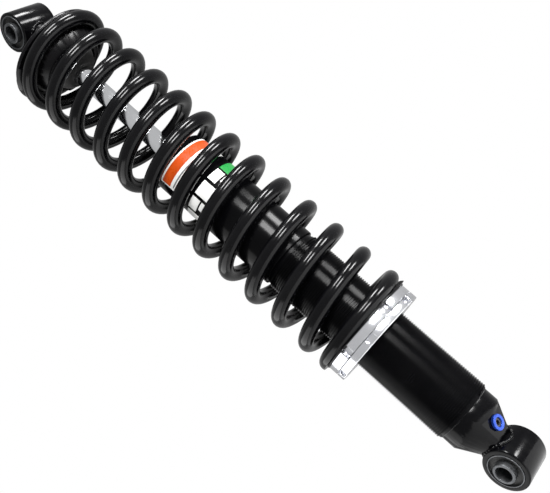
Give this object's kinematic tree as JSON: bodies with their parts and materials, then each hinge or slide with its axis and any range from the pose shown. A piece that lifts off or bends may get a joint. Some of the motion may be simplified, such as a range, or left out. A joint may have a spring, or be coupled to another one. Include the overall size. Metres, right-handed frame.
{
  "type": "rear shock absorber",
  "caption": "Coil-over rear shock with rubber-bushed eyes, threaded preload rings, helical spring, chrome rod and gas-charged damper.",
  "frame": {"origin": "centre of the lower eye's bolt bore", "axes": "+Z along the damper to the upper eye, +Y along the bolt axis of both eyes, +X towards the gas port"},
  "size_m": [0.073, 0.073, 0.4426],
  "materials": {
    "satin_black_body": "satin",
    "gloss_black_cast": "gloss",
    "gloss_black_spring": "gloss",
    "satin_black_plate": "satin",
    "black_anodised": "satin",
    "plain_aluminium": "machined",
    "polished_aluminium": "polished",
    "blue_anodised": "anodised",
    "hard_chrome": "polished",
    "zinc_steel": "satin",
    "shim_steel": "satin",
    "black_oxide_steel": "satin",
    "bronze": "machined",
    "nitrile_rubber": "matte",
    "bush_rubber": "matte",
    "black_urethane": "matte",
    "ptfe_band": "matte"
  },
  "bodies": {
    "cylinder": {"damper_body": "satin_black_body", "end_cap": "gloss_black_cast", "end_cap_o_ring": "nitrile_rubber", "lower_eye": "gloss_black_cast", "lower_bush_shell": "zinc_steel", "lower_bush_rubber": "bush_rubber", "gas_port_ring": "blue_anodised", "gas_port_screw": "black_oxide_steel", "seal_head": "black_anodised", "head_o_ring": "nitrile_rubber", "guide_bush": "bronze", "rod_seal": "nitrile_rubber", "dust_wiper": "nitrile_rubber", "head_circlip": "black_oxide_steel", "coil_spring": "gloss_black_spring"},
    "lower_sleeve": {"lower_sleeve": "zinc_steel"},
    "piston_band": {"piston_band": "ptfe_band"},
    "rod": {"piston_rod": "hard_chrome", "piston": "plain_aluminium", "compression_shims": "shim_steel", "rebound_shims": "shim_steel", "piston_nut": "shim_steel", "rebound_bumper": "nitrile_rubber", "upper_eye": "gloss_black_cast", "upper_bush_shell": "zinc_steel", "upper_bush_rubber": "bush_rubber", "spring_retainer": "satin_black_plate", "retainer_collar": "satin_black_plate", "bump_stop": "black_urethane", "bump_washer": "black_oxide_steel"},
    "upper_sleeve": {"upper_sleeve": "zinc_steel"},
    "floating_piston": {"floating_piston": "plain_aluminium", "floating_piston_ring": "nitrile_rubber"},
    "thrust_washer": {"thrust_washer": "satin_black_plate"},
    "adjuster": {"adjuster_ring": "polished_aluminium"},
    "lock_ring": {"lock_ring": "polished_aluminium"}
  },
  "joints": [
    {"name": "compression", "type": "slide", "parent": "cylinder", "child": "piston_band", "axis": [0, 0, -1], "range_m": [0, 0.085], "stiffness_N_per_m": 28600, "springref_m": -0.01, "deforming": ["coil_spring"]},
    {"name": "rod_swivel", "type": "hinge", "parent": "piston_band", "child": "rod", "pos_m": [0, 0, 0.233], "axis": [0, 0, 1], "range_deg": [-90, 90]},
    {"name": "upper_bush_twist", "type": "hinge", "parent": "rod", "child": "upper_sleeve", "pos_m": [0, 0, 0.415], "axis": [0, 1, 0], "range_deg": [-20, 20], "stiffness_Nm_per_rad": 8},
    {"name": "lower_bush_twist", "type": "hinge", "parent": "cylinder", "child": "lower_sleeve", "pos_m": [0, 0, 0], "axis": [0, 1, 0], "range_deg": [-20, 20], "stiffness_Nm_per_rad": 8},
    {"name": "gas_piston_slide", "type": "slide", "parent": "cylinder", "child": "floating_piston", "axis": [0, 0, -1], "range_m": [0, 0.0125]},
    {"name": "adjuster_turn", "type": "hinge", "parent": "thrust_washer", "child": "adjuster", "pos_m": [0, 0, 0.1095], "axis": [0, 0, 1], "range_deg": [-2880, 0]},
    {"name": "preload_travel", "type": "slide", "parent": "cylinder", "child": "thrust_washer", "axis": [0, 0, 1], "range_m": [-0.0121, 0.0001]},
    {"name": "lock_ring_turn", "type": "hinge", "parent": "thrust_washer", "child": "lock_ring", "pos_m": [0, 0, 0.1037], "axis": [0, 0, 1], "range_deg": [-2881, 1]}
  ],
  "couplings": [
    {"joint": "gas_piston_slide", "follows": "compression", "ratio": 0.1352},
    {"joint": "preload_travel", "follows": "adjuster_turn", "m_per_rad": 0.00023873},
    {"joint": "lock_ring_turn", "follows": "adjuster_turn", "ratio": 1}
  ]
}
